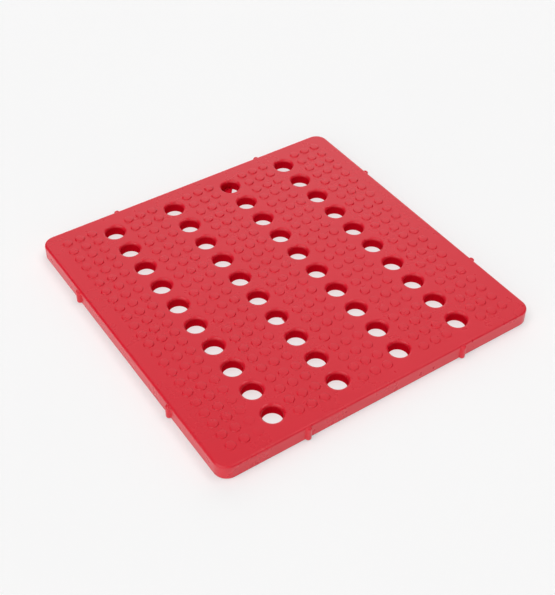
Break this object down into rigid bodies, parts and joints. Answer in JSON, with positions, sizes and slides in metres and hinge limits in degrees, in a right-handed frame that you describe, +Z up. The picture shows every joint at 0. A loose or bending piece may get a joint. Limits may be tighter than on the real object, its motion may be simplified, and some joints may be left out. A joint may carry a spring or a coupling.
{
  "type": "queen excluder",
  "caption": "Square moulded plastic queen excluder sheet with rows of round bee passages, low studs on the lands between them and half-round locating nibs on its edges.",
  "frame": {"origin": "under the middle of the sheet, on the plane that its rim rests on", "axes": "+Z up through the thickness to the studded face, +X across the rows of passages, +Y along them"},
  "size_m": [0.0814, 0.0814, 0.0038],
  "materials": {
    "moulded_plastic": "satin"
  },
  "bodies": {
    "root": {"perforated_sheet": "moulded_plastic", "studs_land_1_column_1": "moulded_plastic", "studs_land_1_column_2": "moulded_plastic", "studs_land_1_column_3": "moulded_plastic", "studs_land_2_column_1": "moulded_plastic", "studs_land_2_column_2": "moulded_plastic", "studs_land_2_column_3": "moulded_plastic", "studs_land_3_column_1": "moulded_plastic", "studs_land_3_column_2": "moulded_plastic", "studs_land_3_column_3": "moulded_plastic", "studs_land_4_column_1": "moulded_plastic", "studs_land_4_column_2": "moulded_plastic", "studs_land_4_column_3": "moulded_plastic", "studs_land_5_column_1": "moulded_plastic", "studs_land_5_column_2": "moulded_plastic", "studs_land_5_column_3": "moulded_plastic", "nib_right_a": "moulded_plastic", "nib_right_b": "moulded_plastic", "nib_back_a": "moulded_plastic", "nib_back_b": "moulded_plastic", "nib_left_a": "moulded_plastic", "nib_left_b": "moulded_plastic", "nib_front_a": "moulded_plastic", "nib_front_b": "moulded_plastic", "flash_web_large": "moulded_plastic", "flash_web_small": "moulded_plastic"}
  },
  "joints": []
}
